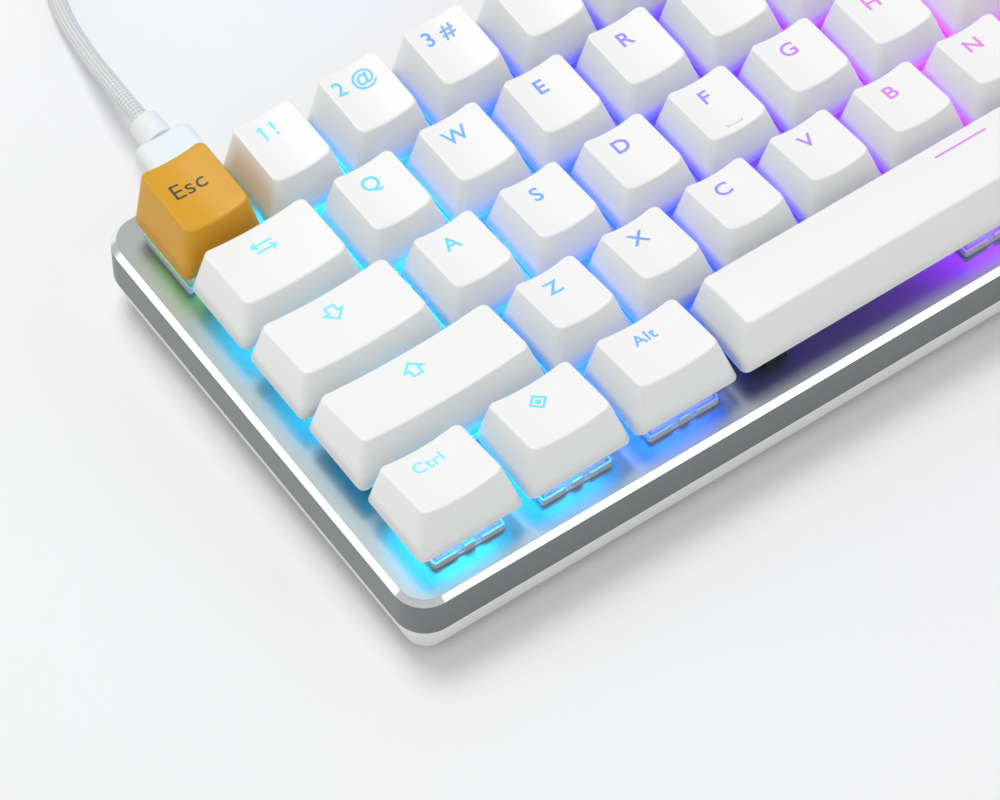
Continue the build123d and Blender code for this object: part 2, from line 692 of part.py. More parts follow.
def cap_core(units, row):
    """The hollow inside a cap, which leaves its walls and its ceiling."""
    skirt_x, skirt_y = units * UNIT - CAP_GAP, UNIT - CAP_GAP
    share = (CEILING - SKIRT_Z) / (ROW_TOP[row] - SKIRT_Z)
    in_y = skirt_y - share * (skirt_y - CAP_TOP_Y) - 2 * CAP_WALL
    with BuildPart() as core:
        with BuildSketch(above(SKIRT_Z)):
            RectangleRounded(skirt_x - 2 * CAP_WALL, skirt_y - 2 * CAP_WALL, CAP_SKIRT_R / 2)
        with BuildSketch(above(CEILING)):
            with Locations((0, share * ROW_SHIFT[row])):
                RectangleRounded(skirt_x - 2 * share * TOP_IN_X - 2 * CAP_WALL, in_y, CAP_SKIRT_R / 2)
        loft()
    return core.part


def key_cap(units, row, esc):
    """One cap over the origin: dished top, or a crowned one on the space bar, and a tube for each stem."""
    bar = units > 6
    top_x = units * UNIT - CAP_GAP - 2 * top_size(esc)[0]
    spots = [(0, 0)] + [(side * stab_span(units) / 2, 0) for side in (-1, 1) if stab_span(units)]
    with BuildPart() as cap:
        add(cap_block(units, row, esc))
        if bar:
            face = top_face(row)
            crown = face.origin + face.z_dir * (BAR_CROWN - BAR_CROWN_R)
            with BuildSketch(Plane.YZ.offset(-units * UNIT / 2)):
                with Locations((crown.Y, crown.Z)):
                    Circle(BAR_CROWN_R)
            extrude(amount=units * UNIT, mode=Mode.INTERSECT)
        else:
            dish_r = ((top_x / 2) ** 2 + DISH ** 2) / (2 * DISH)
            face = top_face(row)
            with BuildSketch(Plane(origin=face.origin, x_dir=(1, 0, 0), z_dir=face.y_dir)):
                with Locations((0, DISH - dish_r)):
                    Circle(dish_r)
            extrude(amount=UNIT, both=True, mode=Mode.SUBTRACT)
        add(cap_core(units, row), mode=Mode.SUBTRACT)
        with BuildSketch(above(TUBE_Z)):
            with Locations(*spots):
                Circle(TUBE_OUT_R)
        extrude(amount=CEILING + 0.3 - TUBE_Z)
        with BuildSketch(above(TUBE_Z)):
            with Locations(*spots):
                Rectangle(CROSS + 2 * FIT, CROSS_T + 2 * FIT)
                Rectangle(CROSS_T + 2 * FIT, CROSS + 2 * FIT)
        extrude(amount=SOCKET_TOP - TUBE_Z, mode=Mode.SUBTRACT)
    return cap.part


STEM = switch_stem()
SLIDER = stabiliser_insert()
CAPS = {}


def key_pieces(key):
    """A key's separate solids where they stand: its cap, its stem and, on a wide key, its two sliders."""
    name, units, row, x, y = key
    kind = (units, row, name == "esc")
    if kind not in CAPS:
        CAPS[kind] = key_cap(*kind)
    pieces = [CAPS[kind].moved(Location((x, y, 0))), STEM.moved(Location((x, y, 0)))]
    if stab_span(units):
        for side in (-1, 1):
            pieces.append(SLIDER.moved(Location((x + side * stab_span(units) / 2, y, 0))))
    return pieces


def key_nodes():
    """Each key's node name and its keys, with the shared runs gathered into one node each."""
    nodes, run = {}, None
    for key in KEYS:
        for shared, first, last in SHARED:
            if key[0] == first:
                run = (shared, last)
        node = run[0] if run else f"key_{key[0]}"
        nodes.setdefault(node, []).append(key)
        if run and key[0] == run[1]:
            run = None
    return nodes


# Plug and cable --------------------------------------------------------------------------------------------

PLUG_FACE = CASE_Y / 2 + 0.3


def usb_c_plug_shell():
    """The plug's metal shell, inside the socket and round its tongue."""
    with BuildPart() as shell:
        with BuildSketch(Plane.XZ.offset(-PLUG_FACE)):
            with Locations((PORT_X, PORT_Z)):
                RectangleRounded(SHELL_W, SHELL_H, SHELL_H / 2 - 0.05)
                RectangleRounded(SHELL_W - 1.0, SHELL_H - 0.8, SHELL_H / 2 - 0.5, mode=Mode.SUBTRACT)
        extrude(amount=SHELL_LONG)
    return shell.part


def usb_c_plug_body():
    """The plug's moulded body and its round collar."""
    with BuildPart() as body:
        with BuildSketch(Plane.XZ.offset(-PLUG_FACE)):
            with Locations((PORT_X, PORT_Z)):
                RectangleRounded(PLUG_W, PLUG_H, PLUG_R)
        extrude(amount=-PLUG_LONG)
        chamfer(body.faces().sort_by(Axis.Y)[-1].edges(), length=PLUG_BEVEL)
        with BuildSketch(Plane.XZ.offset(-PLUG_FACE - PLUG_LONG)):
            with Locations((PORT_X, PORT_Z)):
                Circle(COLLAR_R)
        extrude(amount=-COLLAR_LONG)
    return body.part


def usb_cable():
    """The cable from the plug's collar, down to the table and round to the coil."""
    points = [(PORT_X, PLUG_FACE + PLUG_LONG + COLLAR_LONG, PORT_Z), *ROUTE]
    corners = [Vector(*point) for point in points]
    runs = [b - a for a, b in zip(corners, corners[1:])]
    radii = []
    for before, after in zip(runs, runs[1:]):
        half_turn = math.radians(before.get_angle(after)) / 2
        radii.append(0.45 * min(before.length, after.length) / math.tan(half_turn))
    print("cable bend radii", [round(radius, 1) for radius in radii])
    with BuildPart() as cable:
        with BuildLine() as path:
            FilletPolyline(*points, radius=radii)
        with BuildSketch(Plane(origin=path.line @ 0, z_dir=path.line % 0)):
            Circle(CABLE_R)
        sweep()
    print("cable run", round(sum(edge.length for edge in path.edges()), 1))
    return cable.part


def usb_cable_coil():
    """The rest of the cable, wound into a round coil."""
    with BuildPart() as coil:
        with BuildSketch(Plane.XZ.offset(-COIL_Y)):
            with Locations((COIL_X + COIL_R, 0.1 + COIL_H / 2)):
                RectangleRounded(COIL_W, COIL_H, CABLE_R)
        revolve(axis=Axis((COIL_X, COIL_Y, 0), (0, 0, 1)))
    return coil.part


def cable_tie():
    """A strap closed round the coil."""
    spot = COIL_Y + COIL_R
    with BuildPart() as tie:
        with BuildSketch(Plane.YZ.offset(COIL_X - 4.0)):
            with Locations((spot - 0.2, 0.15 + (COIL_H + 1.4) / 2)):
                RectangleRounded(COIL_W + 3.4, COIL_H + 1.5, 1.6)
        extrude(amount=8.0)
    return tie.part


def far_plug():
    """The computer end: a moulded body with its tapered relief, and the flat metal shell."""
    axis_y = COIL_Y + COIL_R + COIL_W / 2 - CABLE_R
    start = COIL_X + FAR_START
    axis_z = FAR_PLUG_H / 2 + 0.1
    with BuildPart() as body:
        with BuildSketch(Plane.YZ.offset(start)):
            with Locations((axis_y, axis_z)):
                Circle(CABLE_R + 0.7)
        with BuildSketch(Plane.YZ.offset(start + FAR_RELIEF)):
            with Locations((axis_y, axis_z)):
                Circle(FAR_PLUG_H / 2 - 0.4)
        loft()
        with BuildSketch(Plane.YZ.offset(start + FAR_RELIEF)):
            with Locations((axis_y, axis_z)):
                RectangleRounded(FAR_PLUG_W, FAR_PLUG_H, 2.0)
        extrude(amount=FAR_PLUG_LONG)
    with BuildPart() as shell:
        with BuildSketch(Plane.YZ.offset(start + FAR_RELIEF + FAR_PLUG_LONG)):
            with Locations((axis_y, axis_z)):
                RectangleRounded(FAR_SHELL_W, FAR_SHELL_H, 0.5)
                RectangleRounded(FAR_SHELL_W - 0.7, FAR_SHELL_H - 0.7, 0.2, mode=Mode.SUBTRACT)
        extrude(amount=FAR_SHELL_LONG)
        with BuildSketch(Plane.YZ.offset(start + FAR_RELIEF + FAR_PLUG_LONG)):
            with Locations((axis_y, axis_z - 0.9)):
                Rectangle(FAR_SHELL_W - 0.7, 1.8)
        extrude(amount=FAR_SHELL_LONG - 1)
    return body.part, shell.part


save("lower_case", lower_case())
save("top_plate", top_plate())
save("rubber_feet", rubber_feet())
save("folding_foot_left", folding_foot(-1))
save("folding_foot_right", folding_foot(1))
save("case_screws", case_screws())
save("circuit_board", circuit_board())
save("board_chips", board_chips())
save("usb_socket", usb_socket())
save("switch_bottom_housings", copies(switch_bottom(), CENTRES))
save("switch_top_housings", copies(switch_top(), CENTRES))
save("switch_springs", copies(switch_spring(), CENTRES))
save("switch_contacts", copies(switch_contact(), CENTRES))
save("backlight_leds", copies(backlight_led(), CENTRES))
save("stabiliser_housings", stabiliser_housings())
for name, units, row, x, y in KEYS:
    if stab_span(units):
        save(f"{name}_wire", stabiliser_wire(stab_span(units), x, y))
for node, keys in key_nodes().items():
    save(node, Compound(children=[piece for key in keys for piece in key_pieces(key)]))
save("usb_c_plug_shell", usb_c_plug_shell())
save("usb_c_plug_body", usb_c_plug_body())
save("usb_cable", usb_cable())
save("usb_cable_coil", usb_cable_coil())
save("cable_tie", cable_tie())
computer_plug_body, computer_plug_shell = far_plug()
save("computer_plug_body", computer_plug_body)
save("computer_plug_shell", computer_plug_shell)
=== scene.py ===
"""Looks for the compact mechanical keyboard: caps, legends, lit housings, metal plate, case and cable."""
import logging
import math
from dataclasses import dataclass
from enum import Enum

import bmesh
import bpy
import numpy as np
from mathutils import Matrix, Vector


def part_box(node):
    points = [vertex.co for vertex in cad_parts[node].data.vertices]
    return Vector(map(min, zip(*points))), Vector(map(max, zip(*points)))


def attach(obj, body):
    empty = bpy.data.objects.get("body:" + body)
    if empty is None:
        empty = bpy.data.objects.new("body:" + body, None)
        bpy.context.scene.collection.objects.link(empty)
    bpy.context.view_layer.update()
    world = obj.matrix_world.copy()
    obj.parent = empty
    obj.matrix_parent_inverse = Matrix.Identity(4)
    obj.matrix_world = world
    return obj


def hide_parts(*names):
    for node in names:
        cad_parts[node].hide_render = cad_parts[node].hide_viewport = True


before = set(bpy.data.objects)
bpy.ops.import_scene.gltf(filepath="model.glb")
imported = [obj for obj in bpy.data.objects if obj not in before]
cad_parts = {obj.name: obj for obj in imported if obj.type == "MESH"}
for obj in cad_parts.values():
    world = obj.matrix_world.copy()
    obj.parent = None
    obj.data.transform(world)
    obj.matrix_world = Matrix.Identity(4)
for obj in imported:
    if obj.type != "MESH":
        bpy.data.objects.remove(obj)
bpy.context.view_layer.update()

logging.basicConfig(level=logging.INFO, format="%(name)s: %(message)s")
log = logging.getLogger("keyboard")

MM = 0.001
UNIT = 19.05
PLATE_TOP = round(1000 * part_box("top_plate")[1][2], 3)
BLOCK_X = 15 * UNIT
BLOCK_Y = 5 * UNIT

# The plate's polished bevel: its height, the half width of each change of finish and of the painted shade on
# the upright faces below it, and its roughness
BEVEL = 1.1
BLEND = 0.05
POLISHED = 0.13

# Cap shape, heights from the plate's top
CAP_GAP = 0.95
SKIRT_Z = 6.0
SKIRT_R = 1.5
TOP_IN_X = 2.75
TOP_Y = 14.9
TOP_R = 1.5
ESC_IN_X = 2.15
ESC_TOP_Y = 16.2
ESC_SHIFT = 0.45
WALL = 1.4
CEILING = 11.5
DISH = 1.1
CROWN = 0.7
CROWN_R = 35.0
HOMING_X = 1.7
RIM = 0.5
CROSS_TOP = 10.2
STEM_FOOT = 1.4
POCKET_TOP = 3.4
STEM_EDGE = 0.25
ROW_TOP = (18.2, 16.1, 15.4, 15.65, 15.6)
ROW_SHIFT = (0.57, 0.81, 0.84, 1.04, 1.12)
ROW_TILT = (1.1, -2.5, -6.8, -11.5, -10.3)

# The cable's route, as in the model's own source, and the coil at its end
PORT_X = -123.3
ROUTE = (
    (PORT_X, 73.325, 11.07), (PORT_X, 82.5, 11.07), (-120.9, 97.0, 4.6), (-118.5, 111.0, 1.95),
    (-113.5, 123.5, 1.85), (-102.5, 131.5, 1.85), (-88.0, 133.2, 1.85), (-72.0, 131.0, 1.85),
    (-57.5, 129.2, 1.85),
)
CABLE_D = 3.5
COIL_X, COIL_Y = -42.9, 104.4
COIL_TURNS = (
    (24.5, 1.85), (21.0, 1.85), (17.5, 1.85), (14.0, 1.85), (14.0, 5.35), (14.0, 8.85), (17.5, 8.85),
    (17.5, 5.35), (21.0, 5.35), (21.0, 8.85), (24.5, 8.85), (24.5, 5.35),
)
TURN_POINTS = 16


class Mark(Enum):
    """The drawn symbols that stand in a cap's corner instead of letters."""

    TAB = "two arrows"
    CAPS = "arrow with a foot"
    SHIFT = "open arrow"
    SUPER = "diamond"
    BACK = "long arrow"
    ENTER = "bent arrow"
    MENU = "lines"
    BAR = "long bar"


@dataclass(frozen=True)
class Key:
    """One key: its node, width in units, row, middle and legend."""

    node: str
    units: float
    row: int
    x: float
    y: float
    legend: object


def linear(hex_colour: str) -> tuple:
    """Turns a screen colour into the linear values that shaders take.

    Args:
        hex_colour: Six hexadecimal digits.
    Returns:
        Red, green, blue and alpha from 0 to 1.
    """
    parts = [int(hex_colour[i:i + 2], 16) / 255 for i in (0, 2, 4)]
    return tuple(c / 12.92 if c <= 0.04045 else ((c + 0.055) / 1.055) ** 2.4 for c in parts) + (1.0,)


# Keys ------------------------------------------------------------------------------------------------------

ROWS = (
    (("esc", 1, "Esc"), ("1", 1, "1 !"), ("2", 1, "2 @"), ("3", 1, "3 #"), ("4", 1, "4 $"), ("5", 1, "5 %"),
     ("6", 1, "6 ^"), ("7", 1, "7 &"), ("8", 1, "8 *"), ("9", 1, "9 ("), ("0", 1, "0 )"), ("minus", 1, "- _"),
     ("equals", 1, "= +"), ("backspace", 2, Mark.BACK)),
    (("tab", 1.5, Mark.TAB), ("q", 1, "Q"), ("w", 1, "W"), ("e", 1, "E"), ("r", 1, "R"), ("t", 1, "T"),
     ("y", 1, "Y"), ("u", 1, "U"), ("i", 1, "I"), ("o", 1, "O"), ("p", 1, "P"), ("left_bracket", 1, "[ {"),
     ("right_bracket", 1, "] }"), ("backslash", 1.5, "\\ |")),
    (("caps_lock", 1.75, Mark.CAPS), ("a", 1, "A"), ("s", 1, "S"), ("d", 1, "D"), ("f", 1, "F"),
     ("g", 1, "G"), ("h", 1, "H"), ("j", 1, "J"), ("k", 1, "K"), ("l", 1, "L"), ("semicolon", 1, "; :"),
     ("quote", 1, "' \""), ("enter", 2.25, Mark.ENTER)),
    (("shift_left", 2.25, Mark.SHIFT), ("z", 1, "Z"), ("x", 1, "X"), ("c", 1, "C"), ("v", 1, "V"),
     ("b", 1, "B"), ("n", 1, "N"), ("m", 1, "M"), ("comma", 1, ", <"), ("period", 1, ". >"),
     ("slash", 1, "/ ?"), ("shift_right", 2.75, Mark.SHIFT)),
    (("ctrl_left", 1.25, "Ctrl"), ("super_left", 1.25, Mark.SUPER), ("alt_left", 1.25, "Alt"),
     ("space", 6.25, Mark.BAR), ("alt_right", 1.25, "Alt"), ("super_right", 1.25, "Fn"),
     ("menu", 1.25, Mark.MENU), ("ctrl_right", 1.25, "Ctrl")),
)
SHARED = (
    ("keys_5_to_equals", "5", "equals"), ("keys_t_to_backslash", "t", "backslash"),
    ("keys_g_to_quote", "g", "quote"), ("keys_n_to_slash", "n", "slash"),
    ("keys_right_modifiers", "alt_right", "ctrl_right"),
)


def all_keys() -> list:
    """Lays the rows out on the grid.

    Returns:
        Every key, back row first, with the node that it belongs to.
    """
    keys, run = [], None
    for row, names in enumerate(ROWS):
        left = -BLOCK_X / 2
        for name, units, legend in names:
            for shared, first, last in SHARED:
                if name == first:
                    run = (shared, last)
            node = run[0] if run else f"key_{name}"
            x, y = left + units * UNIT / 2, BLOCK_Y / 2 - (row + 0.5) * UNIT
            keys.append(Key(node, units, row, x, y, legend))
            left += units * UNIT
            if run and name == run[1]:
                run = None
    return keys


KEYS = all_keys()


# Shader helpers --------------------------------------------------------------------------------------------

def add_node(tree, kind: str, inputs: dict = None, **fields):
    """Adds one shader node, sets its fields and its inputs, and links any input given as a socket.

    Args:
        tree: The material's node tree.
        kind: The node type's name.
        inputs: Values or output sockets by input name or number.
        fields: Properties of the node itself.
    Returns:
        The new node.
    """
    node = tree.nodes.new(kind)
    for field, value in fields.items():
        setattr(node, field, value)
    for name, value in (inputs or {}).items():
        socket = node.inputs[name]
        if isinstance(value, bpy.types.NodeSocket):
            tree.links.new(value, socket)
        else:
            socket.default_value = value
    return node


def new_material(name: str):
    """An empty node material with its output.

    Args:
        name: What the material is.
    Returns:
        The material, its tree and its output node.
    """
    material = bpy.data.materials.new(name)
    material.use_nodes = True
    tree = material.node_tree
    tree.nodes.clear()
    return material, tree, tree.nodes.new("ShaderNodeOutputMaterial")


def along_x(tree, stops: tuple, corner: str = ""):
    """A colour that changes from the keyboard's left edge to its right.

    Args:
        tree: The material's node tree.
        stops: Pairs of distance from the left key edge in mm, and colour.
        corner: Colour of the back left corner, where it differs.
    Returns:
        The colour socket.
    """
    where = add_node(tree, "ShaderNodeTexCoord")
    split = add_node(tree, "ShaderNodeSeparateXYZ", {0: where.outputs["Object"]})
    share = add_node(tree, "ShaderNodeMapRange", {
        "Value": split.outputs[0], "From Min": -BLOCK_X / 2 * MM, "From Max": BLOCK_X / 2 * MM})
    ramp = add_node(tree, "ShaderNodeValToRGB", {0: share.outputs[0]})
    elements = ramp.color_ramp.elements
    while len(elements) < len(stops):
        elements.new(0.5)
    for element, (distance, colour) in zip(elements, stops):
        element.position = distance / BLOCK_X
        element.color = linear(colour)
    if not corner:
        return ramp.outputs[0]
    back = add_node(tree, "ShaderNodeMapRange", {
        "Value": split.outputs[1], "From Min": CORNER_Y[0] * MM, "From Max": CORNER_Y[1] * MM})
    left = add_node(tree, "ShaderNodeMapRange", {
        "Value": split.outputs[0], "From Min": CORNER_X[0] * MM, "From Max": CORNER_X[1] * MM})
    both = add_node(tree, "ShaderNodeMath", {0: back.outputs[0], 1: left.outputs[0]}, operation="MULTIPLY")
    mix = add_node(tree, "ShaderNodeMix", {"Factor": both.outputs[0], 6: ramp.outputs[0], 7: linear(corner)},
                   data_type="RGBA")
    return mix.outputs[2]


def grain(tree, size: float, strength: float, distance: float, detail: float = 3.0):
    """A fine surface texture.

    Args:
        tree: The material's node tree.
        size: Width of one grain in mm.
        strength: From 0 to 1.
        distance: Height of the grain in mm.
        detail: Octaves of noise.
    Returns:
        The normal socket and the noise's value socket.
    """
    where = add_node(tree, "ShaderNodeTexCoord")
    noise = add_node(tree, "ShaderNodeTexNoise", {
        "Vector": where.outputs["Object"], "Scale": 1 / (size * MM), "Detail": detail, "Roughness": 0.6})
    bump = add_node(tree, "ShaderNodeBump", {
        "Height": noise.outputs[0], "Strength": strength, "Distance": distance * MM})
    return bump.outputs[0], noise.outputs[0]


# Where the light's colour turns into the back left corner's own, across and along
CORNER_X = (-130, -138)
CORNER_Y = (14, 24)
GLOW_STOPS = (
    (0, "20CFFF"), (30, "1FB8FF"), (50, "2C86FF"), (72, "2450F0"), (92, "3A2CE0"), (112, "5A22D0"),
    (140, "A030F0"), (180, "F030C0"), (212, "FF4050"), (238, "FF8A28"), (262, "E8D030"), (286, "50E060"),
)
LEGEND_STOPS = (
    (0, "7CF2FF"), (30, "74E8FF"), (48, "70CCFF"), (62, "74ACFF"), (80, "8496FF"), (98, "A48CFF"),
    (112, "B888FA"), (130, "DC88F0"), (160, "F084E0"), (200, "FF8890"), (245, "FFC070"), (286, "90E890"),
)


@dataclass(frozen=True)
class Plastic:
    """Moulded plastic with a fine spark-eroded grain."""

    name: str
    colour: str
    rough: float = 0.42
    grain_mm: float = 0.12
    bump_mm: float = 0.004
    soft: float = 0.0

    def make(self):
        """Builds the material.

        Returns:
            The material.
        """
        material, tree, out = new_material(self.name)
        normal, value = grain(tree, self.grain_mm, 0.5, self.bump_mm)
        rough = add_node(tree, "ShaderNodeMapRange", {
            "Value": value, "To Min": self.rough - 0.05, "To Max": self.rough + 0.05})
        shader = add_node(tree, "ShaderNodeBsdfPrincipled", {
            "Base Color": linear(self.colour), "Roughness": rough.outputs[0], "Normal": normal,
            "Subsurface Weight": self.soft, "Subsurface Radius": (0.002, 0.002, 0.002),
            "Subsurface Scale": 1.0, "Specular IOR Level": 0.45})
        tree.links.new(shader.outputs[0], out.inputs[0])
        return material


@dataclass(frozen=True)
class Metal:
    """Blasted, plated or drawn metal."""

    name: str
    colour: str
    rough: float = 0.35
    grain_mm: float = 0.25
    bump_mm: float = 0.004
    # Darker colour for the upright faces: painted shade on the same aluminium as the top
    painted_shade_side_colour: str = ""

    def make(self):
        """Builds the material; with a side colour, its upright faces get painted shade, a darker grey than
        its top, and it has a polished edge.

        Returns:
            The material.
        """
        material, tree, out = new_material(self.name)
        normal, value = grain(tree, self.grain_mm, 0.6, self.bump_mm)
        rough = add_node(tree, "ShaderNodeMapRange", {
            "Value": value, "To Min": self.rough - 0.06, "To Max": self.rough + 0.06})
        base, gloss = linear(self.colour), rough.outputs[0]
        # Below the bevel the upright faces take the darker side colour: painted shade, not a different metal
        if self.painted_shade_side_colour:
            where = add_node(tree, "ShaderNodeTexCoord")
            split = add_node(tree, "ShaderNodeSeparateXYZ", {0: where.outputs["Object"]})
            depth = add_node(tree, "ShaderNodeMapRange", {
                "Value": split.outputs[2], "From Min": (PLATE_TOP - BEVEL - BLEND) * MM,
                "From Max": (PLATE_TOP - BEVEL + BLEND) * MM})
            mix = add_node(tree, "ShaderNodeMix", {
                "Factor": depth.outputs[0], 6: linear(self.painted_shade_side_colour), 7: base}, data_type="RGBA")
            base = mix.outputs[2]
            deck = add_node(tree, "ShaderNodeMapRange", {
                "Value": split.outputs[2], "From Min": (PLATE_TOP - 0.06) * MM,
                "From Max": (PLATE_TOP - 0.02) * MM})
            edge = add_node(tree, "ShaderNodeMath", {0: depth.outputs[0], 1: deck.outputs[0]},
                            operation="SUBTRACT")
            shine = add_node(tree, "ShaderNodeMix", {"Factor": edge.outputs[0], 2: gloss, 3: POLISHED})
            gloss = shine.outputs[0]
            bright = add_node(tree, "ShaderNodeMix", {
                "Factor": edge.outputs[0], 6: base, 7: linear("F4F6F6")}, data_type="RGBA")
            base = bright.outputs[2]
        shader = add_node(tree, "ShaderNodeBsdfPrincipled", {
            "Base Color": base, "Metallic": 1.0, "Roughness": gloss, "Normal": normal})
        tree.links.new(shader.outputs[0], out.inputs[0])
        return material


@dataclass(frozen=True)
class Lit:
    """A legend moulded from clear plastic, lit from below."""

    name: str
    strength: float

    def make(self):
        """Builds the material.

        Returns:
            The material.
        """
        material, tree, out = new_material(self.name)
        colour = along_x(tree, LEGEND_STOPS)
        shader = add_node(tree, "ShaderNodeBsdfPrincipled", {
            "Base Color": (0.02, 0.02, 0.02, 1), "Roughness": 0.4,
            "Emission Color": colour, "Emission Strength": self.strength})
        tree.links.new(shader.outputs[0], out.inputs[0])
        return material


@dataclass(frozen=True)
class ClearHousing:
    """A clear switch housing that spreads its light's colour out of its upper half."""

    name: str
    strength: float
    lit_from: float
    lit_to: float
    solid: float = 0.62

    def make(self):
        """Builds the material.

        Returns:
            The material.
        """
        material, tree, out = new_material(self.name)
        normal, value = grain(tree, 0.4, 0.3, 0.01)
        colour = along_x(tree, GLOW_STOPS, "3F8A28")
        where = add_node(tree, "ShaderNodeTexCoord")
        split = add_node(tree, "ShaderNodeSeparateXYZ", {0: where.outputs["Object"]})
        level = add_node(tree, "ShaderNodeMapRange", {
            "Value": split.outputs[2], "From Min": (PLATE_TOP + self.lit_from) * MM,
            "From Max": (PLATE_TOP + self.lit_to) * MM, "To Min": 0.0, "To Max": self.strength})
        body = add_node(tree, "ShaderNodeBsdfPrincipled", {
            "Base Color": linear("DDE4EA"), "Roughness": 0.22, "Normal": normal,
            "Emission Color": colour, "Emission Strength": level.outputs[0]})
        clear = add_node(tree, "ShaderNodeBsdfTransparent", {"Color": (0.93, 0.95, 0.97, 1)})
        mix = add_node(tree, "ShaderNodeMixShader", {0: self.solid, 1: clear.outputs[0], 2: body.outputs[0]})
        tree.links.new(mix.outputs[0], out.inputs[0])
        return material


@dataclass(frozen=True)
class Braid:
    """Cable sleeve woven from two sets of yarn that cross."""

    name: str
    colour: str
    dark: str
    long_waves: float
    round_waves: float

    def make(self):
        """Builds the material on the tube's own coordinates.

        Returns:
            The material.
        """
        material, tree, out = new_material(self.name)
        where = add_node(tree, "ShaderNodeTexCoord")
        split = add_node(tree, "ShaderNodeSeparateXYZ", {0: where.outputs["UV"]})
        waves = []
        for sign in (1, -1):
            long_part = add_node(tree, "ShaderNodeMath", {0: split.outputs[0], 1: self.long_waves * math.tau},
                                 operation="MULTIPLY")
            both = add_node(tree, "ShaderNodeMath", {
                0: split.outputs[1], 1: sign * self.round_waves * math.tau, 2: long_part.outputs[0]},
                operation="MULTIPLY_ADD")
            waves.append(add_node(tree, "ShaderNodeMath", {0: both.outputs[0]}, operation="SINE").outputs[0])
        weave = add_node(tree, "ShaderNodeMath", {0: waves[0], 1: waves[1]}, operation="MULTIPLY")
        level = add_node(tree, "ShaderNodeMapRange", {
            "Value": weave.outputs[0], "From Min": -1.0, "From Max": 1.0})
        mix = add_node(tree, "ShaderNodeMix", {
            "Factor": level.outputs[0], 6: linear(self.dark), 7: linear(self.colour)}, data_type="RGBA")
        bump = add_node(tree, "ShaderNodeBump", {
            "Height": level.outputs[0], "Strength": 0.8, "Distance": 0.25 * MM})
        shader = add_node(tree, "ShaderNodeBsdfPrincipled", {
            "Base Color": mix.outputs[2], "Roughness": 0.75, "Normal": bump.outputs[0],
            "Sheen Weight": 0.3, "Sheen Roughness": 0.5})
        tree.links.new(shader.outputs[0], out.inputs[0])
        return material


FINISHES = {
    "cap": Plastic("white double-shot cap", "F4F5F4", 0.40, 0.10, 0.003),
    "esc": Plastic("amber double-shot cap", "DDA11A", 0.42, 0.10, 0.003),
    "case": Plastic("white case plastic", "E9EAE9", 0.5, 0.2, 0.006),
    "dark": Plastic("black nylon", "141517", 0.45, 0.2, 0.006),
    "board": Plastic("black board lacquer", "0E1012", 0.35, 0.6, 0.01),
    "stem": Plastic("stem plastic", "E4E6E8", 0.35, 0.2, 0.003),
    "rubber": Plastic("matt rubber", "1B1B1C", 0.85, 0.15, 0.01),
    "plug": Plastic("soft white moulding", "EDEEEE", 0.55, 0.15, 0.005),
    "tie": Plastic("woven strap", "505355", 0.8, 0.3, 0.05),
    "led": Plastic("light window", "F4F2E6", 0.3, 0.3, 0.003),
    "ink": Plastic("grey legend plastic", "4A4744", 0.5, 0.1, 0.002),
    # 7A8080 is painted shade on the plate's upright faces, which are the same aluminium as its top
    "plate": Metal("blasted aluminium", "9CA2A1", 0.34, 0.16, 0.004, "7A8080"),
    "steel": Metal("bright steel", "B9BBBD", 0.25, 0.4, 0.003),
    "brass": Metal("gilt contact", "D8B060", 0.3, 0.4, 0.003),
    "clear": ClearHousing("clear switch housing", 7.4, 2.8, 3.8),
    "flange": ClearHousing("clear switch flange", 0.0, 2.8, 3.8, 0.88),
    "legend": Lit("lit legend", 1.0),
    "braid": Braid("braided sleeve", "F2F2F2", "C2C4C6", 2100.0, 7.0),
}
MADE = {}


def finish(name: str):
    """One shared material by its short name.

    Args:
        name: A key of FINISHES.
    Returns:
        The material.
    """
    if name not in MADE:
        MADE[name] = FINISHES[name].make()
    return MADE[name]


# Meshes ----------------------------------------------------------------------------------------------------

def mesh_object(name: str, points: np.ndarray, faces: list, finish_name: str, smooth: bool = True):
    """Makes an object from points in mm.

    Args:
        name: The piece's name.
        points: Rows of x, y, z.
        faces: Lists of point numbers.
        finish_name: A key of FINISHES.
        smooth: Whether faces are shaded smooth.
    Returns:
        The object, at the origin.
    """
    mesh = bpy.data.meshes.new(name)
    mesh.from_pydata((np.asarray(points) * MM).tolist(), [], faces)
    mesh.polygons.foreach_set("use_smooth", np.full(len(mesh.polygons), smooth))
    mesh.materials.append(finish(finish_name))
    mesh.update()
    piece = bpy.data.objects.new(name, mesh)
    bpy.context.scene.collection.objects.link(piece)
    log.info("%s: %d faces", name, len(mesh.polygons))
    return piece


@dataclass
class Pile:
    """Points and faces of several bodies gathered into one mesh."""

    points: list
    faces: list
    count: int = 0

    def add(self, points: np.ndarray, faces: list) -> None:
        """Puts one more body in.

        Args:
            points: Rows of x, y, z in mm.
            faces: Lists of that body's own point numbers.
        """
        self.points.append(np.asarray(points, float))
        self.faces.extend([[i + self.count for i in face] for face in faces])
        self.count += len(points)


def rounded_outline(half_x: float, half_y: float, radius: float, bend: int = 6, side: int = 8) -> np.ndarray:
    """A rounded rectangle's points, the same number whatever its size.

    Args:
        half_x: Half its width.
        half_y: Half its depth.
        radius: Corner radius.
        bend: Steps round a corner.
        side: Steps along a side.
    Returns:
        Rows of x, y, anticlockwise from the right side's lower end.
    """
    points = []
    cx, cy = half_x - radius, half_y - radius
    for turn, (sx, sy) in enumerate(((1, 1), (-1, 1), (-1, -1), (1, -1))):
        for i in range(bend + 1):
            angle = math.pi / 2 * (turn + i / bend)
            points.append((sx * cx + radius * math.cos(angle), sy * cy + radius * math.sin(angle)))
        following = ((-1, 1), (-1, -1), (1, -1), (1, 1))[turn]
        angle = math.pi / 2 * (turn + 1)
        start = np.array(points[-1])
        bend_out = radius * np.array((math.cos(angle), math.sin(angle)))
        end = np.array((following[0] * cx, following[1] * cy)) + bend_out
        points.extend(start + (end - start) * i / side for i in range(1, side))
    return np.array(points)


